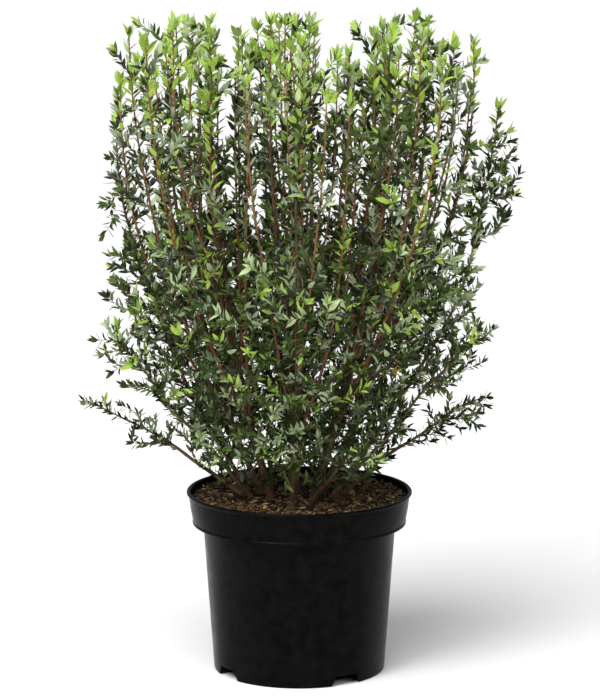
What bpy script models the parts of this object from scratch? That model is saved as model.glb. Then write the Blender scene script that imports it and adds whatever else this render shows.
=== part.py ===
"""A silver sheen tea tree: a many-stemmed shrub with a sheared top, standing in a round nursery pot.

Metres, +Z up. The origin is the centre of the pot's flat underside, and -Y is the front. Every stem rises
from one clump in the potting mix, sweeps outwards and then turns upright. Each mass of foliage is an uneven
egg, threaded on its stem or carried at its tip, and cut back where it meets its neighbours.
"""

import math
from dataclasses import dataclass

import bmesh
import bpy
from mathutils import Matrix, Vector, noise

OBJECT_NAME = "silver_sheen_tea_tree"
GAP = 0.0003

# Pot: a ten litre nursery pot with a deep collar
POT_HEIGHT = 0.226
RIM_RADIUS = 0.140
LIP_DEPTH = 0.0045
LIP_PROUD = 0.0025
COLLAR_DEPTH = 0.041
COLLAR_FOOT_RADIUS = 0.1325
BODY_TOP_RADIUS = 0.1195
BODY_FOOT_RADIUS = 0.1066
FOOT_CHAMFER = 0.0015
POT_WALL = 0.0022
POT_FLOOR = 0.003
TURN_STEPS = 40

# Four drainage recesses in the foot, at these turns from the front towards +X
RECESS_TURNS = [-57.0, 33.0, 123.0, 213.0]
RECESS_INNER_RADIUS = 0.080
RECESS_HEIGHT = 0.0125
RECESS_FOOT_HALF = 0.0210
RECESS_ROOF_HALF = 0.0145
DRAIN_RADIUS = 0.005
DRAIN_AT = 0.093

# Potting mix, flat in the middle where the stems stand and a little lower at the wall
MIX_TOP = POT_HEIGHT - 0.0070
MIX_EDGE_DROP = 0.0030
MIX_FLAT_RADIUS = 0.068

# Crown
CLUMP_X = -0.010
CROWN_TOP = 0.812
CROWN_BOTTOM = 0.240
ROUGHNESS_OF_OUTLINE = 0.13
LUMP_SIZE = 1.7
MASS_TURNS = 11
MASS_RINGS = 7
FULLNESS = 2.7
STEM_SIDES = 6
STEM_POINTS = 8
FLARE_HEIGHT = 0.010
STEM_SOCKET = 0.030


@dataclass(frozen=True)
class Stem:
    """One tapering limb from the mix.

    lean is its direction in plan, in degrees from +X towards +Y. It leaves the mix at the distance foot from
    the clump's centre, and its tip is reach away and top above the ground. A high settle makes it sweep out
    early and end upright. lift does the same for its height: 1 rises evenly, more rises early.
    """

    name: str
    lean: float
    reach: float
    top: float
    foot: float = 0.036
    girth: float = 0.0056
    settle: float = 2.2
    lift: float = 1.0

    def at(self, share):
        """The point at a share of the way from the mix, 0, to the tip, 1."""
        out = self.foot + (self.reach - self.foot) * (1 - (1 - share) ** self.settle)
        up = MIX_TOP + GAP + (self.top - MIX_TOP - GAP) * (1 - (1 - share) ** self.lift)
        turn = math.radians(self.lean)
        return Vector((CLUMP_X + out * math.cos(turn), out * math.sin(turn), up))

    def thickness(self, share):
        """The radius there: an even taper, with a flare where it stands on the mix."""
        height = self.at(share).z - MIX_TOP
        return self.girth * (1 - 0.68 * share) + 0.4 * self.girth * math.exp(-height / FLARE_HEIGHT)


@dataclass(frozen=True)
class Mass:
    """One mass of foliage on a stem.

    Its centre is at a share of the stem's way, moved outwards by outset and upwards by raise_by. Its long axis
    lies in the stem's upright plane, at pitch degrees above level. long, across and thick are half sizes, and
    top is as high as the shears let it reach.
    """

    name: str
    stem: Stem
    share: float
    long: float
    across: float
    thick: float
    pitch: float
    outset: float = 0.0
    raise_by: float = 0.0
    top: float = CROWN_TOP

    def centre(self):
        """The middle of the mass."""
        turn = math.radians(self.stem.lean)
        outwards = Vector((math.cos(turn), math.sin(turn), 0))
        return self.stem.at(self.share) + self.outset * outwards + Vector((0, 0, self.raise_by))

    def axes(self):
        """Its long, across and thick axes."""
        turn, pitch = math.radians(self.stem.lean), math.radians(self.pitch)
        outwards = Vector((math.cos(turn), math.sin(turn), 0))
        long = math.cos(pitch) * outwards + Vector((0, 0, math.sin(pitch)))
        across = Vector((-math.sin(turn), math.cos(turn), 0))
        return long, across, long.cross(across)

    def extent(self, direction):
        """How far the even egg reaches from its centre in a direction."""
        sizes = (self.long, self.across, self.thick)
        total = sum(abs(direction.dot(axis) / size) ** FULLNESS for axis, size in zip(self.axes(), sizes))
        return total ** (-1 / FULLNESS)

    def uneven(self, direction):
        """The same with the lumps and hollows of its foliage."""
        place = LUMP_SIZE * direction + 9 * self.centre()
        return self.extent(direction) * (1 + ROUGHNESS_OF_OUTLINE * 2 * noise.noise(place))


# The leaders stand in a ring and make the body of the crown. Their tops are sheared level
LEADERS = {
    "left": Stem("stem_left", 186, 0.150, 0.79, girth=0.0050),
    "front_left": Stem("stem_front_left", 229, 0.150, 0.80),
    "front": Stem("stem_front", 274, 0.150, 0.79, girth=0.0046),
    "front_right": Stem("stem_front_right", 317, 0.156, 0.79),
    "right": Stem("stem_right", 358, 0.164, 0.78),
    "back_right": Stem("stem_back_right", 43, 0.158, 0.785, girth=0.0050),
    "back": Stem("stem_back", 89, 0.150, 0.785),
    "back_left": Stem("stem_back_left", 136, 0.150, 0.78, girth=0.0048),
}
CENTRE = Stem("stem_centre", 20, 0.026, 0.80, foot=0.004, girth=0.0060)

# Side shoots leave the clump between the leaders and reach past them
FAR_LEFT = Stem("stem_far_left", 166, 0.224, 0.71, foot=0.053, girth=0.0038, settle=2.0)
FAR_RIGHT = Stem("stem_far_right", 15, 0.262, 0.69, foot=0.053, girth=0.0038, settle=2.0)
MID_LEFT = Stem("stem_mid_left", 206, 0.232, 0.43, foot=0.053, girth=0.0036, settle=1.1, lift=1.1)
MID_RIGHT = Stem("stem_mid_right", 337, 0.244, 0.44, foot=0.053, girth=0.0036, settle=1.1, lift=1.1)
LOW_LEFT = Stem("stem_low_left", 178, 0.256, 0.335, foot=0.062, girth=0.0036, settle=1.0, lift=1.3)
LOW_RIGHT = Stem("stem_low_right", 2, 0.240, 0.340, foot=0.062, girth=0.0036, settle=1.0, lift=1.3)
LOW_FRONT = Stem("stem_low_front", 300, 0.190, 0.300, foot=0.053, girth=0.0030, settle=1.0, lift=1.9)
LOW_BACK = Stem("stem_low_back", 112, 0.215, 0.335, foot=0.053, girth=0.0032, settle=1.0, lift=1.6)


def crown_masses():
    """Every mass of foliage: three on each leader, two at the heart and one on each side shoot."""
    masses = []
    for place, stem in LEADERS.items():
        masses += [
            Mass("foliage_top_" + place, stem, 0.82, 0.165, 0.078, 0.076, 86, outset=0.006, top=stem.top + 0.014),
            Mass("foliage_middle_" + place, stem, 0.42, 0.136, 0.080, 0.084, 72, outset=0.010),
            Mass("foliage_skirt_" + place, stem, 0.135, 0.082, 0.056, 0.052, 42, outset=0.022, raise_by=0.008),
        ]
    return masses + [
        Mass("foliage_top_centre", CENTRE, 0.82, 0.165, 0.078, 0.078, 88),
        Mass("foliage_heart", CENTRE, 0.40, 0.140, 0.080, 0.080, 88),
        Mass("foliage_far_left", FAR_LEFT, 0.72, 0.130, 0.040, 0.034, 80, outset=0.012),
        Mass("foliage_far_right", FAR_RIGHT, 0.80, 0.084, 0.038, 0.030, 72, outset=0.004),
        Mass("foliage_mid_left", MID_LEFT, 0.84, 0.070, 0.040, 0.026, 42),
        Mass("foliage_mid_right", MID_RIGHT, 0.84, 0.072, 0.040, 0.026, 42),
        Mass("foliage_low_left", LOW_LEFT, 0.70, 0.084, 0.034, 0.022, 22, raise_by=-0.004),
        Mass("foliage_low_right", LOW_RIGHT, 0.70, 0.078, 0.034, 0.022, 22, raise_by=-0.004),
        Mass("foliage_low_front", LOW_FRONT, 0.68, 0.060, 0.038, 0.026, 14),
        Mass("foliage_low_back", LOW_BACK, 0.68, 0.066, 0.038, 0.026, 20),
    ]


def finish(name, colour, roughness):
    """A plain opaque finish of a colour given as red, green and blue."""
    material = bpy.data.materials.new(name)
    material.use_nodes = True
    shader = material.node_tree.nodes["Principled BSDF"]
    shader.inputs["Base Color"].default_value = (*colour, 1)
    shader.inputs["Roughness"].default_value = roughness
    shader.inputs["Metallic"].default_value = 0
    return material


def placed(name, mesh, collection, material=None):
    """A new object for the mesh, smooth but for its sharp corners."""
    obj = bpy.data.objects.new(name, mesh)
    collection.objects.link(obj)
    if material:
        mesh.materials.append(material)
    mesh.shade_smooth()
    mesh.set_sharp_from_angle(angle=math.radians(35))
    return obj


def as_cutter(obj):
    """Marks a helper that shapes other objects and is no part itself."""
    obj.hide_render = True
    obj.display_type = "WIRE"
    return obj


def turned(name, profile, collection, material):
    """A round piece from its half section, a list of (radius, height) that ends at the axis both times."""
    mesh = bpy.data.meshes.new(name)
    shape = bmesh.new()
    points = [shape.verts.new((radius, 0, height)) for radius, height in profile]
    for first, second in zip(points, points[1:]):
        shape.edges.new((first, second))
    shape.to_mesh(mesh)
    shape.free()
    obj = placed(name, mesh, collection, material)
    screw = obj.modifiers.new("turn", "SCREW")
    screw.steps = screw.render_steps = TURN_STEPS
    screw.use_merge_vertices = True
    screw.merge_threshold = 0.0001
    screw.use_smooth_shade = True
    return obj


def recess_form(name, grow, collection):
    """The four wedge forms of the drainage recesses as one helper, each grown on every side by grow."""
    shape = bmesh.new()
    slope = (RECESS_FOOT_HALF - RECESS_ROOF_HALF) / RECESS_HEIGHT
    low, high = (-0.010, RECESS_HEIGHT) if grow == 0 else (0.0010 - GAP, RECESS_HEIGHT + grow)
    near = RECESS_INNER_RADIUS - grow
    far = BODY_FOOT_RADIUS + 0.010 if grow == 0 else BODY_FOOT_RADIUS - POT_WALL / 2 + grow - POT_WALL
    for turn in RECESS_TURNS:
        block = bmesh.ops.create_cube(shape, size=1)["verts"]
        about = Matrix.Rotation(math.radians(turn - 90), 3, "Z")
        for vert in block:
            height = high if vert.co.z > 0 else low
            half = RECESS_FOOT_HALF - slope * height + grow * math.hypot(1, slope)
            vert.co = about @ Vector((far if vert.co.x > 0 else near, math.copysign(half, vert.co.y), height))
    mesh = bpy.data.meshes.new(name)
    shape.to_mesh(mesh)
    shape.free()
    return as_cutter(placed(name, mesh, collection))


def drain_form(name, collection):
    """Four upright rods that open the roof of each recess."""
    shape = bmesh.new()
    for turn in RECESS_TURNS:
        about = Matrix.Rotation(math.radians(turn - 90), 4, "Z")
        place = about @ Matrix.Translation((DRAIN_AT, 0, RECESS_HEIGHT))
        bmesh.ops.create_cone(shape, cap_ends=True, segments=10, radius1=DRAIN_RADIUS, radius2=DRAIN_RADIUS,
                              depth=RECESS_HEIGHT, matrix=place)
    mesh = bpy.data.meshes.new(name)
    shape.to_mesh(mesh)
    shape.free()
    return as_cutter(placed(name, mesh, collection))


def combine(obj, other, operation):
    """Cuts the helper from the object, or joins it on."""
    modifier = obj.modifiers.new(other.name, "BOOLEAN")
    modifier.operation = operation
    modifier.object = other


def pot_sections():
    """The half sections of the pot and of the potting mix that fills it to just under its lip."""
    ledge = POT_HEIGHT - COLLAR_DEPTH
    inner_collar_top = RIM_RADIUS - LIP_PROUD - POT_WALL
    inner_collar_foot = COLLAR_FOOT_RADIUS - POT_WALL
    pot = [
        (0, POT_FLOOR),
        (BODY_FOOT_RADIUS - POT_WALL, POT_FLOOR),
        (BODY_TOP_RADIUS - POT_WALL, ledge + POT_WALL),
        (inner_collar_foot, ledge + POT_WALL),
        (inner_collar_top, POT_HEIGHT),
        (RIM_RADIUS, POT_HEIGHT),
        (RIM_RADIUS, POT_HEIGHT - LIP_DEPTH),
        (RIM_RADIUS - LIP_PROUD, POT_HEIGHT - LIP_DEPTH),
        (COLLAR_FOOT_RADIUS, ledge),
        (BODY_TOP_RADIUS, ledge),
        (BODY_FOOT_RADIUS, FOOT_CHAMFER),
        (BODY_FOOT_RADIUS - FOOT_CHAMFER, 0),
        (0, 0),
    ]
    edge_top = MIX_TOP - MIX_EDGE_DROP
    share = (edge_top - ledge - POT_WALL) / (COLLAR_DEPTH - POT_WALL)
    mix = [
        (0, MIX_TOP),
        (MIX_FLAT_RADIUS, MIX_TOP),
        (inner_collar_foot + share * (inner_collar_top - inner_collar_foot) - GAP, edge_top),
        (inner_collar_foot - GAP, ledge + POT_WALL + GAP),
        (BODY_TOP_RADIUS - POT_WALL - GAP, ledge + POT_WALL + GAP),
        (BODY_FOOT_RADIUS - POT_WALL - GAP, POT_FLOOR + GAP),
        (0, POT_FLOOR + GAP),
    ]
    return pot, mix


def make_pot(parts, cutters, plastic, compost):
    """The pot with its drainage recesses, and the mix, which is cut clear of the recesses' roofs."""
    pot_section, mix_section = pot_sections()
    pot = turned("pot", pot_section, parts, plastic)
    combine(pot, recess_form("recess_housings", POT_WALL, cutters), "UNION")
    combine(pot, recess_form("recess_hollows", 0, cutters), "DIFFERENCE")
    combine(pot, drain_form("drain_holes", cutters), "DIFFERENCE")
    mix = turned("potting_mix", mix_section, parts, compost)
    combine(mix, recess_form("recess_room", POT_WALL + 2 * GAP, cutters), "DIFFERENCE")


def limb(name, stem, until, spare, collection, material=None):
    """The stem from the mix to a share of its way, as a closed mesh, thicker all round by spare."""
    curve = bpy.data.curves.new(name, "CURVE")
    curve.dimensions = "3D"
    curve.bevel_depth = 1
    curve.bevel_resolution = (STEM_SIDES - 4) // 2
    curve.use_fill_caps = True
    spline = curve.splines.new("POLY")
    shares = [until * (step / (STEM_POINTS - 1)) ** 1.3 for step in range(STEM_POINTS)]
    spline.points.add(len(shares) - 1)
    for point, share in zip(spline.points, shares):
        point.co = (*stem.at(share), 1)
        point.radius = stem.thickness(share) + spare
    if spare:
        spline.points[-1].co += Vector((*(stem.at(until) - stem.at(until - 0.01)).normalized(), 0)) * spare
    guide = bpy.data.objects.new(name + "_guide", curve)
    collection.objects.link(guide)
    bpy.context.view_layer.update()
    graph = bpy.context.evaluated_depsgraph_get()
    mesh = bpy.data.meshes.new_from_object(guide.evaluated_get(graph))
    where = guide.matrix_world.copy()
    bpy.data.objects.remove(guide)
    level_foot(mesh, stem)
    obj = placed(name, mesh, collection, material)
    obj.matrix_world = where
    return obj


def level_foot(mesh, stem):
    """Welds the caps on, and slides the first ring along the stem to a level cut."""
    shape = bmesh.new()
    shape.from_mesh(mesh)
    bmesh.ops.remove_doubles(shape, verts=shape.verts, dist=0.00001)
    foot = stem.at(0)
    for vert in sorted(shape.verts, key=lambda vert: (vert.co - foot).length)[:STEM_SIDES]:
        vert.co.z = foot.z
    bmesh.ops.recalc_face_normals(shape, faces=shape.faces)
    shape.to_mesh(mesh)
    shape.free()


def foliage(mass, masses, collection, material):
    """The mass as an uneven egg that stops short of the plane between it and each neighbour."""
    shape = bmesh.new()
    bmesh.ops.create_uvsphere(shape, u_segments=MASS_TURNS, v_segments=MASS_RINGS, radius=1)
    centre = mass.centre()
    limits = []
    for other in masses:
        if other is mass:
            continue
        across = other.centre() - centre
        toward = across.normalized()
        mine, theirs = mass.extent(toward), other.extent(toward)
        limits.append((toward, across.length * mine / (mine + theirs) - GAP / 2))
    turn = Matrix.Rotation(7 * centre.x + 5 * centre.y, 3, "Z") @ Matrix.Rotation(0.3, 3, "X")
    for vert in shape.verts:
        direction = (turn @ vert.co).normalized()
        reach = mass.uneven(direction)
        for toward, room in limits:
            if direction.dot(toward) > 0:
                reach = min(reach, room / direction.dot(toward))
        if direction.z > 0:
            reach = min(reach, (mass.top - centre.z) / direction.z)
        if direction.z < 0:
            reach = min(reach, (CROWN_BOTTOM - centre.z) / direction.z)
        vert.co = centre + reach * direction
    mesh = bpy.data.meshes.new(mass.name)
    shape.to_mesh(mesh)
    shape.free()
    return placed(mass.name, mesh, collection, material)


def boxes_meet(first, second):
    """Whether two objects' boxes overlap."""
    spans = []
    for obj in (first, second):
        places = [obj.matrix_world @ vert.co for vert in obj.data.vertices]
        spans.append([(min(place[axis] for place in places), max(place[axis] for place in places))
                      for axis in range(3)])
    return all(a[0] < b[1] and b[0] < a[1] for a, b in zip(*spans))


def thread(obj, cutters):
    """Cuts the object clear of the limbs through it, and drops the crumbs that a grazing limb leaves."""
    for cutter in cutters:
        if boxes_meet(obj, cutter):
            combine(obj, cutter, "DIFFERENCE")
    bpy.context.view_layer.update()
    graph = bpy.context.evaluated_depsgraph_get()
    mesh = bpy.data.meshes.new_from_object(obj.evaluated_get(graph))
    obj.modifiers.clear()
    shape = bmesh.new()
    shape.from_mesh(mesh)
    islands = []
    waiting = set(shape.verts)
    while waiting:
        island, front = set(), [waiting.pop()]
        while front:
            vert = front.pop()
            island.add(vert)
            near = {edge.other_vert(vert) for edge in vert.link_edges} & waiting
            waiting -= near
            front += near
        islands.append(island)
    islands.sort(key=len)
    bmesh.ops.delete(shape, geom=[vert for island in islands[:-1] for vert in island], context="VERTS")
    shape.to_mesh(mesh)
    shape.free()
    obj.data = mesh


def collection_named(name):
    """A new collection in the scene."""
    collection = bpy.data.collections.new(name)
    bpy.context.scene.collection.children.link(collection)
    return collection


def main():
    """Builds the pot, the mix, the stems and the foliage."""
    for obj in list(bpy.data.objects):
        bpy.data.objects.remove(obj)
    parts, cutters = collection_named(OBJECT_NAME), collection_named("cutters")
    plastic = finish("pot_plastic", (0.012, 0.012, 0.014), 0.35)
    compost = finish("potting_mix", (0.075, 0.040, 0.022), 0.95)
    bark = finish("bark", (0.130, 0.062, 0.034), 0.80)
    leaves = finish("foliage", (0.085, 0.135, 0.060), 0.60)
    make_pot(parts, cutters, plastic, compost)
    masses = crown_masses()
    carried = {}
    for mass in masses:
        carried.setdefault(mass.stem, []).append(mass)
    grown = []
    for stem, own in carried.items():
        last = max(own, key=lambda mass: mass.share)
        into = stem_end(stem, last, masses)
        limb(stem.name, stem, into, 0, parts, bark)
        grown.append(as_cutter(limb(stem.name + "_room", stem, into, GAP, cutters)))
    for mass in masses:
        thread(foliage(mass, masses, parts, leaves), grown)


def stem_end(stem, mass, masses):
    """The share of the stem's way that lies one socket's depth inside its last mass."""
    share = mass.share
    centre = mass.centre()
    while share > 0.02:
        back = stem.at(share) - centre
        if back.length > 0:
            direction = back.normalized()
            room = 0.85 * mass.extent(direction)
            for other in masses:
                if other is mass:
                    continue
                across = other.centre() - centre
                facing = direction.dot(across.normalized())
                if facing > 0:
                    mine, theirs = mass.extent(across.normalized()), other.extent(across.normalized())
                    room = min(room, across.length * mine / (mine + theirs) / facing)
            if back.length > room - STEM_SOCKET:
                break
        share -= 0.01
    return share


main()
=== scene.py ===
"""A silver sheen tea tree in its nursery pot: leaves, twigs, bark, compost and moulded plastic.

Metres, +Z up, -Y towards the viewer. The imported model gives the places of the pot, the stems and the masses of
foliage. Each mass gives way to shoots that grow on from the stems by a seeded branching rule.
"""

import logging
import math
from dataclasses import dataclass, field
from enum import Enum

import bpy
import numpy as np
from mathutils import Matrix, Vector, noise
from mathutils.bvhtree import BVHTree

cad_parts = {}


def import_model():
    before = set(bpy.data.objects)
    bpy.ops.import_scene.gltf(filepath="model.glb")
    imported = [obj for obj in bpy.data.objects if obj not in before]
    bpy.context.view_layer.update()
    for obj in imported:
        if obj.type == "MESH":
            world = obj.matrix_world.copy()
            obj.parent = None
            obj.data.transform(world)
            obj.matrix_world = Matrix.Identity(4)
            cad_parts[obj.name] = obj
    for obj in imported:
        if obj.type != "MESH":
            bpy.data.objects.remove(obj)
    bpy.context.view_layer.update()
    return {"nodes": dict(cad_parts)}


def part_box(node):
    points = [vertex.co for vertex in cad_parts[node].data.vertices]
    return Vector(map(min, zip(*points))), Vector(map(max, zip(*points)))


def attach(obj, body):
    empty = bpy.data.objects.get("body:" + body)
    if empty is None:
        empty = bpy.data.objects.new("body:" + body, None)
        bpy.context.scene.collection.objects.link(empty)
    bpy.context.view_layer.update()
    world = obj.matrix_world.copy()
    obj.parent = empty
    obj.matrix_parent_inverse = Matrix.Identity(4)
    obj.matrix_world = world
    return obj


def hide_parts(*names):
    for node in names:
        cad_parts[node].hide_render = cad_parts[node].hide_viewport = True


LOG = logging.getLogger("tea_tree")
BODY = "root"
UP = np.array([0.0, 0.0, 1.0])


class Slot(Enum):
    """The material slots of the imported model."""

    PLASTIC = "pot_plastic"
    MIX = "potting_mix"
    BARK = "bark"
    FOLIAGE = "foliage"


class Tint(Enum):
    """The plain leaf colours, dealt out by spray, each as red, green and blue."""

    # The darkest tint is a dark green made darker still: painted shade for the inner and lower crown.
    DEEP_SHADE = (0.014, 0.027, 0.003)
    BOTTLE = (0.031, 0.054, 0.009)
    LEAF = (0.085, 0.135, 0.027)
    SILVER = (0.225, 0.285, 0.165)
    SLATE = (0.048, 0.048, 0.032)
    YOUNG = (0.330, 0.490, 0.080)
    PALE = (0.420, 0.520, 0.270)
    YELLOW = (0.600, 0.460, 0.060)


class Tier(Enum):
    """The parts of the crown, each with the masses that its leaves replace."""

    TOP = "top"
    MIDDLE = "middle"
    SKIRT = "skirt"
    SIDES = "sides"


def unit(vectors: np.ndarray) -> np.ndarray:
    """Vectors scaled to a length of one.

    Args:
        vectors: one vector, or an array with one in each row.

    Returns:
        The same directions as unit vectors.
    """
    lengths = np.linalg.norm(vectors, axis=-1, keepdims=True)
    return vectors / np.maximum(lengths, 1e-9)


def mesh_piece(name: str, points: np.ndarray, faces: np.ndarray, materials: list,
               indices: np.ndarray | None = None) -> bpy.types.Object:
    """A smooth mesh object from arrays, at the origin.

    Args:
        name: the piece's name.
        points: its points, one in each row.
        faces: its triangles or quads, as rows of point numbers.
        materials: its materials, in slot order.
        indices: the material slot of each face, or None for the first.

    Returns:
        The new object.
    """
    corners = faces.shape[1]
    mesh = bpy.data.meshes.new(name)
    mesh.vertices.add(len(points))
    mesh.vertices.foreach_set("co", points.astype(np.float32).ravel())
    mesh.loops.add(faces.size)
    mesh.loops.foreach_set("vertex_index", faces.astype(np.int32).ravel())
    mesh.polygons.add(len(faces))
    mesh.polygons.foreach_set("loop_start", np.arange(0, faces.size, corners, dtype=np.int32))
    for material in materials:
        mesh.materials.append(material)
    if indices is not None:
        mesh.polygons.foreach_set("material_index", indices.astype(np.int32))
    mesh.polygons.foreach_set("use_smooth", np.ones(len(faces), dtype=bool))
    mesh.update(calc_edges=True)
    piece = bpy.data.objects.new(name, mesh)
    bpy.context.scene.collection.objects.link(piece)
    return piece


def settle(piece: bpy.types.Object, slot: Slot, nodes: tuple = ()) -> None:
    """Gives a finished piece its body and hides the nodes that it stands for.

    Args:
        piece: the finished piece.
        slot: the record's material slot; not used.
        nodes: the names of the nodes that it replaces.
    """
    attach(piece, BODY)
    if nodes:
        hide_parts(*nodes)
    LOG.info("%s: %d faces", piece.name, len(piece.data.polygons))


def only(piece: bpy.types.Object) -> None:
    """Selects one object alone and makes it active."""
    bpy.ops.object.select_all(action="DESELECT")
    piece.select_set(True)
    bpy.context.view_layer.objects.active = piece


class Groups:
    """The shader node groups that several finishes share, each built once."""

    made: dict = {}

    @classmethod
    def mottle(cls) -> bpy.types.NodeTree:
        """Noise in object space, as a value between Low and High and as a mask."""
        if "mottle" in cls.made:
            return cls.made["mottle"]
        group = bpy.data.node_groups.new("mottle", "ShaderNodeTree")
        for label, value in (("Scale", 60.0), ("Detail", 4.0), ("Low", 0.3), ("High", 0.6)):
            socket = group.interface.new_socket(label, in_out="INPUT", socket_type="NodeSocketFloat")
            socket.default_value = value
        group.interface.new_socket("Value", in_out="OUTPUT", socket_type="NodeSocketFloat")
        group.interface.new_socket("Mask", in_out="OUTPUT", socket_type="NodeSocketFloat")
        nodes, links = group.nodes, group.links
        given, out = nodes.new("NodeGroupInput"), nodes.new("NodeGroupOutput")
        place, grain = nodes.new("ShaderNodeTexCoord"), nodes.new("ShaderNodeTexNoise")
        spread, span = nodes.new("ShaderNodeMapRange"), nodes.new("ShaderNodeMapRange")
        spread.inputs["From Min"].default_value = 0.32
        spread.inputs["From Max"].default_value = 0.68
        links.new(place.outputs["Object"], grain.inputs["Vector"])
        links.new(given.outputs["Scale"], grain.inputs["Scale"])
        links.new(given.outputs["Detail"], grain.inputs["Detail"])
        links.new(grain.outputs["Fac"], spread.inputs["Value"])
        links.new(spread.outputs["Result"], span.inputs["Value"])
        links.new(given.outputs["Low"], span.inputs["To Min"])
        links.new(given.outputs["High"], span.inputs["To Max"])
        links.new(span.outputs["Result"], out.inputs["Value"])
        links.new(spread.outputs["Result"], out.inputs["Mask"])
        cls.made["mottle"] = group
        return group

    @classmethod
    def place(cls, tree: bpy.types.NodeTree, scale: float, low: float = 0.0, high: float = 1.0,
              detail: float = 4.0) -> bpy.types.Node:
        """Puts the mottle group in a material with its own values."""
        node = tree.nodes.new("ShaderNodeGroup")
        node.node_tree = cls.mottle()
        for label, value in (("Scale", scale), ("Low", low), ("High", high), ("Detail", detail)):
            node.inputs[label].default_value = value
        return node


@dataclass(frozen=True)
class Finish:
    """A finish of up to three colours mixed by noise, with mottled roughness and a bump.

    A finish of one colour keeps it plain on the shader.
    """

    name: str
    colours: tuple
    rough: tuple = (0.5, 0.7)
    scale: float = 60.0
    bump: float = 0.0
    bump_scale: float = 200.0
    bump_depth: float = 0.0005
    sheen: float = 0.0
    specular: float = 0.5

    def material(self) -> bpy.types.Material:
        """The finish as a material, made once."""
        if self.name in bpy.data.materials:
            return bpy.data.materials[self.name]
        material = bpy.data.materials.new(self.name)
        material.use_nodes = True
        tree = material.node_tree
        shader = tree.nodes["Principled BSDF"]
        shader.inputs["Specular IOR Level"].default_value = self.specular
        if self.sheen:
            shader.inputs["Sheen Weight"].default_value = self.sheen
            shader.inputs["Sheen Roughness"].default_value = 0.4
        roughness = Groups.place(tree, self.scale * 1.7, *self.rough)
        tree.links.new(roughness.outputs["Value"], shader.inputs["Roughness"])
        shader.inputs["Base Color"].default_value = (*self.colours[0], 1)
        if len(self.colours) > 1:
            self.mix_colours(tree, shader)
        if self.bump:
            grain = Groups.place(tree, self.bump_scale, detail=6.0)
            relief = tree.nodes.new("ShaderNodeBump")
            relief.inputs["Strength"].default_value = self.bump
            relief.inputs["Distance"].default_value = self.bump_depth
            tree.links.new(grain.outputs["Mask"], relief.inputs["Height"])
            tree.links.new(relief.outputs["Normal"], shader.inputs["Normal"])
        return material

    def mix_colours(self, tree: bpy.types.NodeTree, shader: bpy.types.Node) -> None:
        """Mixes the colours by masks of a growing scale, and feeds the base colour."""
        last = None
        for number, colour in enumerate(self.colours[1:], 1):
            mask = Groups.place(tree, self.scale * number * 1.6)
            mix = tree.nodes.new("ShaderNodeMix")
            mix.data_type = "RGBA"
            mix.inputs["A"].default_value = (*self.colours[0], 1)
            mix.inputs["B"].default_value = (*colour, 1)
            if last:
                tree.links.new(last, mix.inputs["A"])
            tree.links.new(mask.outputs["Mask"], mix.inputs["Factor"])
            last = mix.outputs["Result"]
        tree.links.new(last, shader.inputs["Base Color"])


PLASTIC = Finish("moulded_black_plastic", ((0.0010, 0.0010, 0.0012), (0.0020, 0.0020, 0.0022), (0.0042, 0.0040, 0.0036)),
                 rough=(0.22, 0.32), scale=22.0, bump=0.10, bump_scale=420.0, bump_depth=0.0003, specular=0.03)
COMPOST = Finish("moist_compost", ((0.014, 0.009, 0.005), (0.042, 0.026, 0.012), (0.008, 0.005, 0.003)),
                 rough=(0.75, 0.95), scale=130.0, bump=0.9, bump_scale=420.0, bump_depth=0.002, specular=0.2)
BARK = Finish("stem_bark", ((0.070, 0.034, 0.018), (0.180, 0.082, 0.038), (0.120, 0.088, 0.058)),
              rough=(0.60, 0.85), scale=160.0, bump=0.7, bump_scale=700.0, bump_depth=0.0006, specular=0.25)
TWIGS = (
    Finish("russet_twig", ((0.215, 0.088, 0.038),), rough=(0.45, 0.65), scale=300.0, specular=0.25),
    Finish("brown_twig", ((0.110, 0.055, 0.028),), rough=(0.55, 0.75), scale=300.0, specular=0.25),
    Finish("green_twig", ((0.170, 0.165, 0.055),), rough=(0.45, 0.60), scale=300.0, specular=0.25),
)
CHIPS = (
    Finish("dark_chip", ((0.018, 0.011, 0.006),), rough=(0.70, 0.90), scale=250.0, bump=0.4, specular=0.2),
    Finish("brown_chip", ((0.095, 0.055, 0.023),), rough=(0.70, 0.90), scale=250.0, bump=0.4, specular=0.2),
    Finish("pale_fibre", ((0.380, 0.255, 0.115),), rough=(0.75, 0.95), scale=250.0, bump=0.3, specular=0.2),
)


def leaf_finishes() -> list:
    """One material for each leaf colour, in the order of the tints."""
    made = []
    for tint in Tint:
        soft = tint in (Tint.SILVER, Tint.PALE, Tint.SLATE)
        made.append(Finish("leaf_" + tint.name.lower(), (tint.value,), rough=(0.38, 0.58), scale=180.0,
                           sheen=0.08 if soft else 0.02, specular=0.18).material())
    return made


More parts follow.
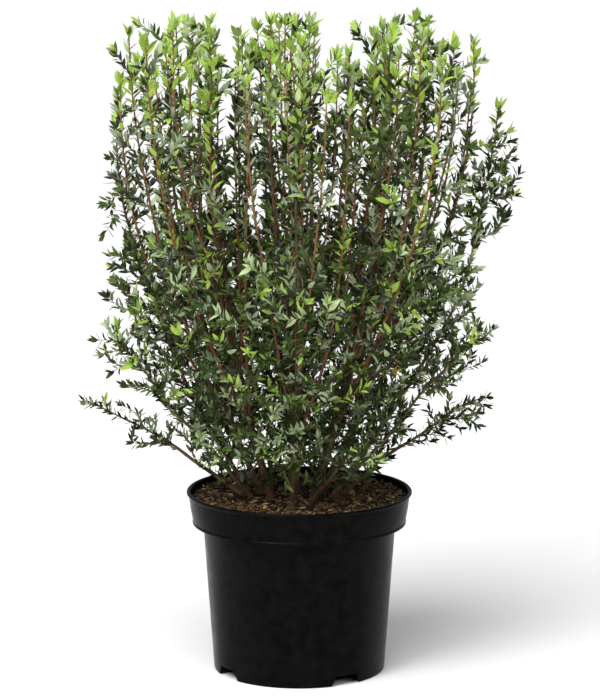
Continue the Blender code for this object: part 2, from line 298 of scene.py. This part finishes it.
@dataclass(frozen=True)
class Limb:
    """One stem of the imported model, and its way on to its tip.

    lean is its direction in plan, in degrees from +X towards +Y, foot and reach are how far from the clump's
    centre it starts and ends, top is its tip's height, and settle and lift shape its sweep.
    """

    node: str
    lean: float
    reach: float
    top: float
    foot: float = 0.036
    girth: float = 0.0056
    settle: float = 2.2
    lift: float = 1.0

    CLUMP_X = -0.010
    GROUND = 0.2193

    def at(self, share: float) -> np.ndarray:
        """The point at a share of the way from the compost, 0, to the tip, 1."""
        out = self.foot + (self.reach - self.foot) * (1 - (1 - share) ** self.settle)
        up = self.GROUND + (self.top - self.GROUND) * (1 - (1 - share) ** self.lift)
        turn = math.radians(self.lean)
        wander = 0.0035 * min(1.0, share * 2)
        return np.array([
            self.CLUMP_X + out * math.cos(turn) + wander * math.sin(11 * share + self.lean),
            out * math.sin(turn) + wander * math.cos(9 * share + 2 * self.lean),
            up,
        ])

    def radius(self, share: float) -> float:
        """The radius there: an even taper and a flare at the foot."""
        height = self.at(share)[2] - self.GROUND
        return max(0.0009, 0.80 * self.girth * (1 - 0.80 * share + 0.4 * math.exp(-height / 0.010)))


LEADERS = (
    Limb("stem_left", 186, 0.150, 0.79, girth=0.0050),
    Limb("stem_front_left", 229, 0.150, 0.80),
    Limb("stem_front", 274, 0.150, 0.79, girth=0.0046),
    Limb("stem_front_right", 317, 0.156, 0.79),
    Limb("stem_right", 358, 0.164, 0.78),
    Limb("stem_back_right", 43, 0.158, 0.785, girth=0.0050),
    Limb("stem_back", 89, 0.150, 0.785),
    Limb("stem_back_left", 136, 0.150, 0.78, girth=0.0048),
    Limb("stem_centre", 20, 0.026, 0.80, foot=0.004, girth=0.0060),
)
SIDE_SHOOTS = (
    Limb("stem_far_left", 166, 0.224, 0.71, foot=0.053, girth=0.0038, settle=2.0),
    Limb("stem_far_right", 15, 0.262, 0.69, foot=0.053, girth=0.0038, settle=2.0),
    Limb("stem_mid_left", 206, 0.232, 0.43, foot=0.053, girth=0.0036, settle=1.1, lift=1.1),
    Limb("stem_mid_right", 337, 0.244, 0.44, foot=0.053, girth=0.0036, settle=1.1, lift=1.1),
    Limb("stem_low_left", 178, 0.256, 0.335, foot=0.062, girth=0.0036, settle=1.0, lift=1.3),
    Limb("stem_low_right", 2, 0.240, 0.340, foot=0.062, girth=0.0036, settle=1.0, lift=1.3),
    Limb("stem_low_front", 300, 0.190, 0.300, foot=0.053, girth=0.0030, settle=1.0, lift=1.9),
    Limb("stem_low_back", 112, 0.215, 0.335, foot=0.053, girth=0.0032, settle=1.0, lift=1.6),
)


def tube(path: np.ndarray, radii: np.ndarray, sides: int, first: int) -> tuple:
    """A closed tube along a path.

    Args:
        path: its centre line, one point in each row.
        radii: its radius at each point.
        sides: how many sides it has.
        first: the number of its first point in the joined mesh.

    Returns:
        Its points and its quads.
    """
    along = unit(np.gradient(path, axis=0))
    across = unit(np.cross(along, (0.37, 0.61, 0.70)))
    over = np.cross(along, across)
    turns = np.arange(sides) * 2 * math.pi / sides
    ring = across[:, None] * np.cos(turns)[None, :, None] + over[:, None] * np.sin(turns)[None, :, None]
    points = (path[:, None] + ring * radii[:, None, None]).reshape(-1, 3)
    rows, columns = np.meshgrid(np.arange(len(path) - 1), np.arange(sides), indexing="ij")
    here, after = rows * sides + columns, rows * sides + (columns + 1) % sides
    quads = np.stack([here, after, after + sides, here + sides], -1).reshape(-1, 4)
    tip, foot = len(points), len(points) + 1
    points = np.vstack([points, path[-1] + along[-1] * radii[-1], path[0] - along[0] * radii[0]])
    last = (len(path) - 1) * sides
    for column in range(0, sides, 2):
        one, two, three = column, (column + 1) % sides, (column + 2) % sides
        quads = np.vstack([quads, [last + one, last + two, last + three, tip], [three, two, one, foot]])
    return points, quads + first


@dataclass
class Shoot:
    """One grown limb or twig: its centre line, its radii, how many forks it is from a stem, and its tier."""

    path: np.ndarray
    radii: np.ndarray
    order: int
    tier: Tier


@dataclass
class Skeleton:
    """Every point that a new shoot may grow from, with the direction and the thickness there."""

    points: np.ndarray = field(default_factory=lambda: np.zeros((0, 3)))
    along: np.ndarray = field(default_factory=lambda: np.zeros((0, 3)))
    radii: np.ndarray = field(default_factory=lambda: np.zeros(0))

    def add(self, path: np.ndarray, radii: np.ndarray) -> None:
        """Adds the points of a path, but for its first."""
        self.points = np.vstack([self.points, path[1:]])
        self.along = np.vstack([self.along, unit(np.gradient(path, axis=0))[1:]])
        self.radii = np.concatenate([self.radii, radii[1:]])

    def nearest(self, tip: np.ndarray) -> int:
        """The point that a shoot to the tip grows from: near, below it and not too far round a turn."""
        ways = tip - self.points
        lengths = np.linalg.norm(ways, axis=1)
        facing = (unit(ways) * unit(self.along + 0.25 * UP)).sum(1)
        cost = np.maximum(lengths, 0.022) * (1 + 1.5 * np.maximum(0, 0.70 - facing))
        cost[lengths < 0.012] += 1
        return int(cost.argmin())


@dataclass
class Canopy:
    """The shoots and leaves of the whole crown, grown from the stems into the masses of foliage."""

    nodes: dict
    seed: int = 11
    tip_gap: dict = field(default_factory=lambda: {
        Tier.TOP: 0.0305, Tier.MIDDLE: 0.0220, Tier.SKIRT: 0.0175, Tier.SIDES: 0.0215})
    gap_scale: float = 15.0
    gap_level: float = -0.07
    uprights: int = 7
    leaf_step: float = 0.0024
    leaf_length: float = 0.0142
    leaf_width: float = 0.0049
    shoots: list = field(default_factory=list)
    skeleton: Skeleton = field(default_factory=Skeleton)

    def __post_init__(self) -> None:
        """Starts the dice."""
        self.dice = np.random.default_rng(self.seed)

    @staticmethod
    def tier_of(node: str) -> Tier:
        """The tier of a mass, from its node's name."""
        for tier in (Tier.TOP, Tier.MIDDLE, Tier.SKIRT):
            if node.startswith("foliage_" + tier.value):
                return tier
        return Tier.MIDDLE if node == "foliage_heart" else Tier.SIDES

    def masses(self) -> list:
        """The names of the masses of foliage."""
        return sorted(name for name in self.nodes if name.startswith("foliage_"))

    def spots_in(self, node: str, gap: float, taken: np.ndarray) -> np.ndarray:
        """Points scattered through a mass, none nearer than a gap to another.

        Args:
            node: the mass.
            gap: the least distance between two points.
            taken: the points that are there already.

        Returns:
            The new points, one in each row.
        """
        mesh = self.nodes[node].data
        tree = BVHTree.FromPolygons([vert.co for vert in mesh.vertices],
                                    [tuple(face.vertices) for face in mesh.polygons])
        low, high = (np.array(corner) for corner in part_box(node))
        tries = int(14 * np.prod(high - low) / gap ** 3)
        kept = np.vstack([taken, np.full((tries, 3), 9.0)])
        count = len(taken)
        airy = self.tier_of(node) in (Tier.TOP, Tier.SIDES)
        for spot in self.dice.uniform(low, high, (tries, 3)):
            if count and np.min(((kept[:count] - spot) ** 2).sum(1)) < gap * gap:
                continue
            if airy and noise.noise(Vector(spot) * self.gap_scale) < self.gap_level:
                continue
            if self.inside(tree, spot):
                kept[count] = spot
                count += 1
        return kept[len(taken):count]

    @staticmethod
    def inside(tree: BVHTree, spot: np.ndarray) -> bool:
        """Whether a point lies inside a closed surface, by the crossings of one ray."""
        start, way = Vector(spot), Vector((0.291, 0.167, 0.942)).normalized()
        crossings = 0
        while True:
            hit = tree.ray_cast(start, way)
            if hit[0] is None or crossings > 20:
                return crossings % 2 == 1
            crossings += 1
            start = hit[0] + way * 1e-5

    def grow(self) -> None:
        """Grows the stems' own ways, then the uprights beside them, then the side shoots."""
        for limb in LEADERS + SIDE_SHOOTS:
            shares = np.linspace(0.05, 1, 60)
            path = np.array([limb.at(share) for share in shares])
            radii = np.array([limb.radius(share) for share in shares])
            self.skeleton.add(path, radii)
            leafy, tier = (36, Tier.TOP) if limb in LEADERS else (20, Tier.SIDES)
            self.shoots.append(Shoot(path[leafy:], 0.6 * radii[leafy:], 2, tier))
        for limb in LEADERS:
            self.raise_uprights(limb)
        self.fill_masses()
        LOG.info("%d shoots", len(self.shoots))

    def raise_uprights(self, limb: Limb) -> None:
        """Long shoots that leave a leader low down and stand up to the sheared top beside it."""
        node = limb.node.replace("stem_", "foliage_top_")
        spots = self.spots_in(node, 0.036, np.zeros((0, 3)))
        tips = spots[np.argsort(-spots[:, 2])][:self.uprights * 2]
        for tip in tips[::2]:
            start = self.dice.uniform(0.10, 0.45)
            root = limb.at(start)
            way = np.linspace(0, 1, 22)[:, None]
            sweep = 1 - (1 - way) ** self.dice.uniform(1.7, 2.3)
            path = root + (tip - root) * np.hstack([sweep, sweep, way])
            bend = self.dice.uniform(-1, 1, 3) * (0.006, 0.006, 0)
            path += bend * np.sin(way * math.pi * self.dice.uniform(1, 2.5))
            radii = np.linspace(0.62 * limb.radius(start), 0.0009, len(path))
            self.shoots.append(Shoot(path, radii, 1, Tier.TOP))
            self.skeleton.add(path, radii)

    def fill_masses(self) -> None:
        """Side shoots to points all through the masses, the nearest to the stems first."""
        spots, tiers = np.zeros((0, 3)), []
        for node in self.masses():
            tier = self.tier_of(node)
            new = self.spots_in(node, self.tip_gap[tier], spots)
            sheared = 0.65 * np.clip((new[:, 2] - 0.62) / 0.15, 0, 1)
            bare = 0.60 * np.clip((0.33 - new[:, 2]) / 0.06, 0, 1) * (tier == Tier.SKIRT)
            new = new[self.dice.random(len(new)) >= sheared + bare]
            spots = np.vstack([spots, new])
            tiers += [tier] * len(new)
        far = [np.linalg.norm(self.skeleton.points - spot, axis=1).min() for spot in spots]
        for number in np.argsort(far):
            self.shoots.append(self.side_shoot(spots[number], tiers[number]))

    def side_shoot(self, tip: np.ndarray, tier: Tier) -> Shoot:
        """One twig that leaves the skeleton along its parent and curves up to its tip."""
        source = self.skeleton.nearest(tip)
        root, parent = self.skeleton.points[source], self.skeleton.along[source]
        way = tip - root
        length = np.linalg.norm(way)
        knee = root + unit(0.7 * parent + unit(way) + 0.1 * self.dice.normal(size=3)) * length * 0.5
        steps = np.linspace(0, 1, 7)[:, None]
        path = (1 - steps) ** 2 * root + 2 * steps * (1 - steps) * knee + steps ** 2 * tip
        thick = min(0.75 * self.skeleton.radii[source], 0.00050 + 0.010 * length)
        radii = np.linspace(thick, 0.00040, len(path))
        self.skeleton.add(path, radii)
        return Shoot(path, radii, 2, tier)

    def tints_for(self, shoot: Shoot, count: int) -> np.ndarray:
        """The colours of a shoot's leaves: one main tint for the spray, with some strays and a young tip. Darker tints
        low down and inside the crown are painted shade; paler tints high up and outside are painted light.
        """
        order = list(Tint)
        height = shoot.path[-1][2]
        outer = np.hypot(*shoot.path[-1][:2]) / 0.22
        # light grows with height and with distance from the middle. The chances below use it to paint shade, with
        # darker tints low down and inside, and to paint light, with silver and pale tints high up and outside.
        light = np.clip((height - 0.30) / 0.50, 0, 1) * 0.6 + 0.4 * np.clip(outer, 0, 1)
        chances = {
            Tint.DEEP_SHADE: 0.34 - 0.25 * light, Tint.BOTTLE: 0.27 - 0.10 * light, Tint.LEAF: 0.18 + 0.05 * light,
            Tint.SILVER: 0.07 + 0.20 * light, Tint.SLATE: 0.08 + 0.08 * light, Tint.YOUNG: 0.02 + 0.04 * light,
            Tint.PALE: 0.02 + 0.05 * light, Tint.YELLOW: 0.001,
        }
        weights = np.array([chances[tint] for tint in order])
        weights /= weights.sum()
        main = self.dice.choice(len(order), p=weights)
        tints = np.full(count, main)
        strays = self.dice.random(count) < 0.42
        tints[strays] = self.dice.choice(len(order), strays.sum(), p=weights)
        young = int(count * np.clip((height - 0.62) / 0.18, 0, 1) * self.dice.uniform(0.15, 0.6))
        if young:
            fresh = [order.index(Tint.YOUNG), order.index(Tint.PALE), order.index(Tint.LEAF)]
            tints[-young:] = self.dice.choice(fresh, young, p=(0.62, 0.20, 0.18))
        return tints

    def leaves_of(self, shoot: Shoot) -> dict:
        """The leaves of one shoot, as arrays of their places, directions, sizes and tints."""
        path = shoot.path
        runs = np.concatenate([[0], np.cumsum(np.linalg.norm(np.diff(path, axis=0), axis=1))])
        begin = 0.42 if shoot.order == 1 else 0.12
        step = self.leaf_step * (1.9 if shoot.order == 1 else 1)
        places = np.arange(begin * runs[-1], runs[-1], step)
        crowd = 4 + int(3 * (path[-1][2] > 0.68))
        places = np.concatenate([places, np.full(crowd, runs[-1])])
        count = len(places)
        at = np.stack([np.interp(places, runs, path[:, axis]) for axis in range(3)], 1)
        stems = unit(np.gradient(path, axis=0))
        along = unit(np.stack([np.interp(places, runs, stems[:, axis]) for axis in range(3)], 1))
        turns = self.dice.uniform(0, 6.28) + np.arange(count) * 2.4 + self.dice.normal(0, 0.35, count)
        lean = np.radians(self.dice.normal(52, 11, count))
        lean[-crowd:] = np.radians(self.dice.uniform(12, 40, crowd))
        across = unit(np.cross(along, (0.31, 0.77, 0.56)))
        over = np.cross(along, across)
        side = across * np.cos(turns)[:, None] + over * np.sin(turns)[:, None]
        leaf = unit(along * np.cos(lean)[:, None] + side * np.sin(lean)[:, None] + 0.18 * UP)
        face = unit(along - (along * leaf).sum(1)[:, None] * leaf + 0.30 * self.dice.normal(size=(count, 3)))
        face = unit(face - (face * leaf).sum(1)[:, None] * leaf)
        tints = self.tints_for(shoot, count)
        size = self.dice.normal(1, 0.16, count).clip(0.6, 1.4)
        size *= np.where(np.isin(tints, [list(Tint).index(Tint.YOUNG), list(Tint).index(Tint.PALE)]), 1.22, 1.0)
        return {"at": at, "leaf": leaf, "face": face, "size": size, "tint": tints,
                "curl": self.dice.normal(0.05, 0.09, count)}

    LEAF_U = np.array([0.0, 0.34, 0.34, 0.34, 0.70, 0.70, 0.70, 1.0])
    LEAF_V = np.array([0.0, -0.5, 0.0, 0.5, -0.36, 0.0, 0.36, 0.0])
    LEAF_FACES = np.array([(0, 2, 1), (0, 3, 2), (1, 2, 5), (1, 5, 4), (2, 3, 6), (2, 6, 5), (4, 5, 7), (5, 6, 7)])
    LEAF_FOLD = 0.28

    def leaf_mesh(self, tier: Tier) -> tuple:
        """All the leaves of a tier, as points, triangles and the tint of each triangle."""
        made = [self.leaves_of(shoot) for shoot in self.shoots if shoot.tier == tier]
        all_of = {key: np.concatenate([leaves[key] for leaves in made]) for key in made[0]}
        count = len(all_of["at"])
        small = np.interp(all_of["at"][:, 2], (0.40, 0.72), (0.86, 1.0))
        length = (self.leaf_length * all_of["size"] * small)[:, None]
        slim = np.interp(all_of["at"][:, 2], (0.30, 0.75), (0.74, 1.03))
        width = self.leaf_width * (all_of["size"] * slim)[:, None] * self.dice.uniform(0.8, 1.15, (count, 1))
        side = np.cross(all_of["face"], all_of["leaf"])
        rise = self.LEAF_FOLD * np.abs(self.LEAF_V) * width - all_of["curl"][:, None] * self.LEAF_U ** 2 * length
        points = (all_of["at"][:, None] + all_of["leaf"][:, None] * (self.LEAF_U * length)[..., None]
                  + side[:, None] * (self.LEAF_V * width)[..., None] + all_of["face"][:, None] * rise[..., None])
        faces = self.LEAF_FACES[None] + (np.arange(count) * len(self.LEAF_U))[:, None, None]
        return points.reshape(-1, 3), faces.reshape(-1, 3), np.repeat(all_of["tint"], len(self.LEAF_FACES))

    def dress(self) -> None:
        """Makes the leaves and twigs of each tier, which replace its masses."""
        finishes = leaf_finishes()
        for tier in Tier:
            points, faces, tints = self.leaf_mesh(tier)
            piece = mesh_piece("leaves_" + tier.value, points, faces, finishes, tints)
            settle(piece, Slot.FOLIAGE, tuple(node for node in self.masses() if self.tier_of(node) == tier))
            settle(self.twig_piece(tier), Slot.BARK)

    def twig_piece(self, tier: Tier) -> bpy.types.Object:
        """The twigs of a tier as one mesh, russet, brown or green by shoot."""
        points, quads, colours, first = [], [], [], 0
        for shoot in self.shoots:
            if shoot.tier != tier:
                continue
            some, faces = tube(shoot.path, shoot.radii, 6 if shoot.order == 1 else 4, first)
            points.append(some)
            quads.append(faces)
            first += len(some)
            shade = self.dice.choice(3, p=(0.62, 0.30, 0.08) if shoot.order == 2 else (0.75, 0.25, 0.0))
            colours.append(np.full(len(faces), shade))
        return mesh_piece("twigs_" + tier.value, np.vstack(points), np.vstack(quads),
                          [finish.material() for finish in TWIGS], np.concatenate(colours))


@dataclass
class BarkStems:
    """The stems with the relief of their bark: ridges along the grain, knots, and a flare at the foot."""

    sides: int = 14
    rings: int = 110
    ridge: float = 0.16

    def build(self) -> None:
        """Makes each stem's mesh, which replaces its node."""
        for limb in LEADERS + SIDE_SHOOTS:
            shares = np.linspace(0, 1, self.rings)
            path = np.array([limb.at(share) for share in shares])
            radii = np.array([limb.radius(share) for share in shares])
            points, quads = tube(path, radii, self.sides, 0)
            for ring in range(self.rings):
                for column in range(self.sides):
                    self.roughen(points, ring * self.sides + column, path[ring], column)
            points[:, 2] = np.maximum(points[:, 2], Limb.GROUND - 0.002)
            piece = mesh_piece(limb.node.replace("stem_", "bark_"), points, quads, [BARK.material()])
            settle(piece, Slot.BARK, (limb.node,))

    def roughen(self, points: np.ndarray, number: int, middle: np.ndarray, column: int) -> None:
        """Moves one point in or out by the bark's ridges."""
        spot = points[number]
        grain = noise.noise(Vector((column * 0.9, spot[2] * 38, middle[0] * 50)))
        knot = noise.noise(Vector(tuple(spot * 160)))
        points[number] = middle + (spot - middle) * (1 + self.ridge * 2 * grain + 0.10 * knot)


@dataclass
class NurseryPot:
    """The pot: a turned shell with a lip, a deep collar, and four drainage recesses in its foot."""

    height: float = 0.226
    rim: float = 0.140
    lip_depth: float = 0.0045
    lip_proud: float = 0.0025
    collar_depth: float = 0.041
    collar_foot: float = 0.1325
    body_top: float = 0.1195
    body_foot: float = 0.1066
    wall: float = 0.0022
    floor: float = 0.016
    recess_turns: tuple = (-57.0, 33.0, 123.0, 213.0)
    recess_height: float = 0.0125
    recess_foot: float = 0.0210
    recess_roof: float = 0.0145
    steps: int = 160

    def section(self) -> list:
        """The half section from the underside out, up over the lip and down inside, as (radius, height)."""
        ledge = self.height - self.collar_depth
        lip_foot = self.height - self.lip_depth
        mid = (self.collar_foot + self.rim - self.lip_proud) / 2 + 0.0004
        return [
            (0.090, 0.0), (self.body_foot - 0.0022, 0.0), (self.body_foot - 0.0007, 0.0006),
            (self.body_foot, 0.0022), (self.body_top - 0.0002, ledge - 0.004), (self.body_top + 0.0012, ledge - 0.0006),
            (self.body_top + 0.0030, ledge), (self.collar_foot - 0.0010, ledge),
            (self.collar_foot + 0.0004, ledge + 0.0008), (self.collar_foot + 0.0006, ledge + 0.0030),
            (self.collar_foot, ledge + 0.0042), (mid, ledge + 0.020), (self.rim - self.lip_proud, lip_foot - 0.001),
            (self.rim - 0.0012, lip_foot + 0.0002), (self.rim, lip_foot + 0.0014), (self.rim, self.height - 0.0012),
            (self.rim - 0.0010, self.height), (self.rim - 0.0036, self.height),
            (self.rim - self.lip_proud - self.wall, self.height - 0.0012),
            (self.collar_foot - self.wall, ledge + self.wall), (self.body_top - self.wall, ledge + self.wall),
            (self.body_foot - self.wall, self.floor),
        ]

    def build(self) -> None:
        """Draws the section up from a ring, closes both ends and cuts the recesses."""
        section = self.section()
        bpy.ops.object.select_all(action="DESELECT")
        bpy.ops.mesh.primitive_circle_add(vertices=self.steps, radius=section[0][0], fill_type="NOTHING",
                                          location=(0, 0, section[0][1]))
        pot = bpy.context.object
        pot.name = pot.data.name = "nursery_pot"
        bpy.ops.object.transform_apply(location=True, rotation=True, scale=True)
        bpy.ops.object.mode_set(mode="EDIT")
        bpy.ops.mesh.select_mode(type="EDGE")
        bpy.ops.mesh.select_all(action="SELECT")
        for (radius, height), (wider, higher) in zip(section, section[1:]):
            bpy.ops.mesh.extrude_region_move(TRANSFORM_OT_translate={"value": (0, 0, higher - height)})
            scale = wider / radius
            bpy.ops.transform.resize(value=(scale, scale, 1), center_override=(0, 0, higher))
        bpy.ops.mesh.select_all(action="SELECT")
        bpy.ops.mesh.fill_holes(sides=0)
        bpy.ops.mesh.select_all(action="SELECT")
        bpy.ops.mesh.normals_make_consistent(inside=False)
        bpy.ops.object.mode_set(mode="OBJECT")
        for turn in self.recess_turns:
            self.cut_recess(pot, turn)
        only(pot)
        bpy.ops.object.shade_smooth_by_angle(angle=math.radians(28))
        pot.data.materials.clear()
        pot.data.materials.append(PLASTIC.material())
        settle(pot, Slot.PLASTIC, ("pot",))

    def cut_recess(self, pot: bpy.types.Object, turn: float) -> None:
        """Cuts one sloped recess from the foot, with a block that is turned from the front by turn degrees."""
        bpy.ops.object.select_all(action="DESELECT")
        bpy.ops.mesh.primitive_cube_add(size=1, location=(0, 0, 0))
        block = bpy.context.object
        slope = (self.recess_foot - self.recess_roof) / self.recess_height
        angle = math.radians(turn - 90)
        for vert in block.data.vertices:
            height = self.recess_height if vert.co.z > 0 else -0.010
            half = math.copysign(self.recess_foot - slope * height, vert.co.y)
            out = self.body_foot + 0.010 if vert.co.x > 0 else 0.080
            vert.co = (out * math.cos(angle) - half * math.sin(angle),
                       out * math.sin(angle) + half * math.cos(angle), height)
        only(pot)
        modifier = pot.modifiers.new("recess", "BOOLEAN")
        modifier.operation, modifier.object = "DIFFERENCE", block
        bpy.ops.object.modifier_apply(modifier=modifier.name)
        bpy.data.objects.remove(block)


@dataclass
class CompostBed:
    """The potting mix: an uneven bed with chips of bark, pale fibres and a few fallen leaves on it."""

    radius: float = 0.1345
    level: float = 0.2175
    heap: float = 0.0030
    lumps: float = 0.0022
    depth: float = 0.020
    steps: int = 120
    rings: int = 46
    chips: int = 2600
    fibres: int = 700
    fallen: int = 26
    seed: int = 5

    def surface(self, x: float, y: float) -> float:
        """The height of the bed at a place."""
        out = math.hypot(x, y) / self.radius
        rough = noise.noise(Vector((x * 60, y * 60, 0))) + 0.6 * noise.noise(Vector((x * 170, y * 170, 3)))
        return self.level + self.heap * (1 - out * out) + self.lumps * rough * min(1, 6 * (1.02 - out))

    def build(self) -> None:
        """Makes the bed, then what lies on it."""
        self.dice = np.random.default_rng(self.seed)
        bpy.ops.object.select_all(action="DESELECT")
        bpy.ops.mesh.primitive_circle_add(vertices=self.steps, radius=self.radius, fill_type="NOTHING",
                                          location=(0, 0, self.level - self.depth))
        bed = bpy.context.object
        bed.name = bed.data.name = "compost_bed"
        bpy.ops.object.transform_apply(location=True, rotation=True, scale=True)
        bpy.ops.object.mode_set(mode="EDIT")
        bpy.ops.mesh.select_mode(type="EDGE")
        bpy.ops.mesh.select_all(action="SELECT")
        narrow = 0.1295 / self.radius
        bpy.ops.transform.resize(value=(narrow, narrow, 1), center_override=(0, 0, self.level - self.depth))
        bpy.ops.mesh.extrude_region_move(TRANSFORM_OT_translate={"value": (0, 0, self.depth)})
        bpy.ops.transform.resize(value=(1 / narrow, 1 / narrow, 1), center_override=(0, 0, self.level))
        for ring in range(self.rings, 1, -1):
            scale = (ring - 1) / ring
            bpy.ops.mesh.extrude_region_move(TRANSFORM_OT_translate={"value": (0, 0, 0)})
            bpy.ops.transform.resize(value=(scale, scale, 1), center_override=(0, 0, self.level))
        bpy.ops.mesh.select_all(action="SELECT")
        bpy.ops.mesh.fill_holes(sides=0)
        bpy.ops.mesh.select_all(action="SELECT")
        bpy.ops.mesh.normals_make_consistent(inside=False)
        bpy.ops.object.mode_set(mode="OBJECT")
        for vert in bed.data.vertices:
            if vert.co.z > self.level - self.depth / 2:
                vert.co.z = self.surface(vert.co.x, vert.co.y)
        only(bed)
        bpy.ops.object.shade_smooth()
        bed.data.materials.clear()
        bed.data.materials.append(COMPOST.material())
        settle(bed, Slot.MIX, ("potting_mix",))
        settle(self.chip_piece(), Slot.MIX)
        settle(self.fallen_leaves(), Slot.FOLIAGE)

    def spot(self) -> np.ndarray:
        """A place on the bed, by the dice."""
        out, turn = (self.radius - 0.004) * math.sqrt(self.dice.random()), self.dice.uniform(0, 2 * math.pi)
        x, y = out * math.cos(turn), out * math.sin(turn)
        return np.array([x, y, self.surface(x, y)])

    def chip_piece(self) -> bpy.types.Object:
        """Chips and fibres as one mesh of small uneven blocks."""
        corners = np.array([(x, y, z) for x in (-1, 1) for y in (-1, 1) for z in (-1, 1)], float)
        block = np.array([(0, 1, 3, 2), (4, 6, 7, 5), (0, 4, 5, 1), (2, 3, 7, 6), (0, 2, 6, 4), (1, 5, 7, 3)])
        points, quads, shades = [], [], []
        for number in range(self.chips + self.fibres):
            fibre = number >= self.chips
            long = self.dice.uniform(0.0035, 0.0090) if fibre else self.dice.uniform(0.0010, 0.0042)
            half = np.array([long, 0.00028 if fibre else long * self.dice.uniform(0.3, 0.7),
                             0.00022 if fibre else long * self.dice.uniform(0.15, 0.4)])
            turn, tilt = self.dice.uniform(0, 2 * math.pi), self.dice.normal(0, 0.28)
            along = np.array([math.cos(turn) * math.cos(tilt), math.sin(turn) * math.cos(tilt), math.sin(tilt)])
            side = unit(np.cross(UP, along) + 0.3 * self.dice.normal(size=3) * (0, 0, 1))
            side = unit(side - side.dot(along) * along)
            shape = corners * half * self.dice.uniform(0.7, 1.2, (8, 3))
            place = self.spot() + (0, 0, half[2] * 0.6)
            points.append(place + shape @ np.array([along, side, np.cross(along, side)]))
            quads.append(block + 8 * number)
            shades.append(np.full(6, 2 if fibre or self.dice.random() < 0.07 else int(self.dice.random() < 0.45)))
        piece = mesh_piece("bark_chips", np.vstack(points), np.vstack(quads),
                           [finish.material() for finish in CHIPS], np.concatenate(shades))
        piece.data.polygons.foreach_set("use_smooth", np.zeros(len(piece.data.polygons), dtype=bool))
        return piece

    def fallen_leaves(self) -> bpy.types.Object:
        """A few yellow and brown leaves that lie on the bed."""
        points, faces = [], []
        for number in range(self.fallen):
            turn = self.dice.uniform(0, 2 * math.pi)
            leaf = unit(np.array([math.cos(turn), math.sin(turn), self.dice.normal(0, 0.12)]))
            face = unit(UP + 0.25 * self.dice.normal(size=3))
            side = unit(np.cross(face, leaf))
            length = self.dice.uniform(0.009, 0.014)
            place = self.spot() + (0, 0, 0.0012)
            rise = 0.2 * np.abs(Canopy.LEAF_V) * 0.0040
            points.append(place + leaf * (Canopy.LEAF_U * length)[:, None]
                          + side * (Canopy.LEAF_V * 0.0042)[:, None] + face * rise[:, None])
            faces.append(Canopy.LEAF_FACES + number * len(Canopy.LEAF_U))
        faces = np.vstack(faces)
        tints = np.repeat(self.dice.choice(2, self.fallen, p=(0.5, 0.5)), len(Canopy.LEAF_FACES))
        browned = Finish("leaf_browned", ((0.160, 0.085, 0.035),), rough=(0.5, 0.7), scale=180.0)
        yellow = bpy.data.materials["leaf_" + Tint.YELLOW.name.lower()]
        return mesh_piece("fallen_leaves", np.vstack(points), faces, [yellow, browned.material()], tints)


@dataclass
class Studio:
    """The plain pale floor, the soft lights and the camera at the photo's view."""

    camera_at: tuple = (0.0009, -4.10, 1.14)
    looks_down: float = 10.2
    lens: float = 173.6
    sensor: float = 36.0
    floor_side: float = 40.0

    def build(self) -> None:
        """Sets the stage."""
        bpy.ops.object.select_all(action="DESELECT")
        bpy.ops.mesh.primitive_plane_add(size=self.floor_side, location=(0, 0, -0.0002))
        floor = bpy.context.object
        floor.name = "floor"
        floor.data.materials.append(Finish("pale_floor", ((0.92, 0.92, 0.92),), rough=(0.6, 0.7), scale=3.0,
                                           specular=0.1).material())
        self.world()
        self.softbox("key", (-1.6, -2.2, 2.3), 1.2, 40)
        self.softbox("fill", (2.1, -1.7, 1.5), 1.0, 14)
        self.skylight()
        camera = bpy.data.cameras.new("camera")
        camera.lens, camera.sensor_width = self.lens, self.sensor
        camera.clip_end = 100
        view = bpy.data.objects.new("camera", camera)
        view.location = self.camera_at
        view.rotation_euler = (math.radians(90 - self.looks_down), 0, 0)
        bpy.context.scene.collection.objects.link(view)
        bpy.context.scene.camera = view

    @staticmethod
    def world() -> None:
        """An even white surround."""
        world = bpy.data.worlds.new("surround")
        world.use_nodes = True
        world.node_tree.nodes["Background"].inputs["Color"].default_value = (1, 1, 1, 1)
        world.node_tree.nodes["Background"].inputs["Strength"].default_value = 0.36
        bpy.context.scene.world = world
        bpy.context.scene.view_settings.view_transform = "Standard"

    @staticmethod
    def skylight() -> None:
        """A wide, very soft light from over the viewer's left shoulder, even over the whole floor."""
        light = bpy.data.lights.new("skylight", "SUN")
        light.energy, light.angle = 3.0, math.radians(50)
        lamp = bpy.data.objects.new("skylight", light)
        lamp.rotation_euler = Vector((0.30, 0.55, -1.0)).to_track_quat("-Z", "Y").to_euler()
        bpy.context.scene.collection.objects.link(lamp)

    @staticmethod
    def softbox(name: str, place: tuple, size: float, power: float) -> None:
        """A square area light that faces the crown."""
        light = bpy.data.lights.new(name, "AREA")
        light.size, light.energy = size, power
        lamp = bpy.data.objects.new(name, light)
        lamp.location = place
        lamp.rotation_euler = (Vector((0, 0, 0.42)) - Vector(place)).to_track_quat("-Z", "Y").to_euler()
        bpy.context.scene.collection.objects.link(lamp)


def main() -> None:
    """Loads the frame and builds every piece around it."""
    logging.basicConfig(level=logging.INFO, format="%(message)s")
    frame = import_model()
    Studio().build()
    NurseryPot().build()
    BarkStems().build()
    canopy = Canopy(frame["nodes"])
    canopy.grow()
    canopy.dress()
    CompostBed().build()
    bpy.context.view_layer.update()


if __name__ == "__main__":
    main()
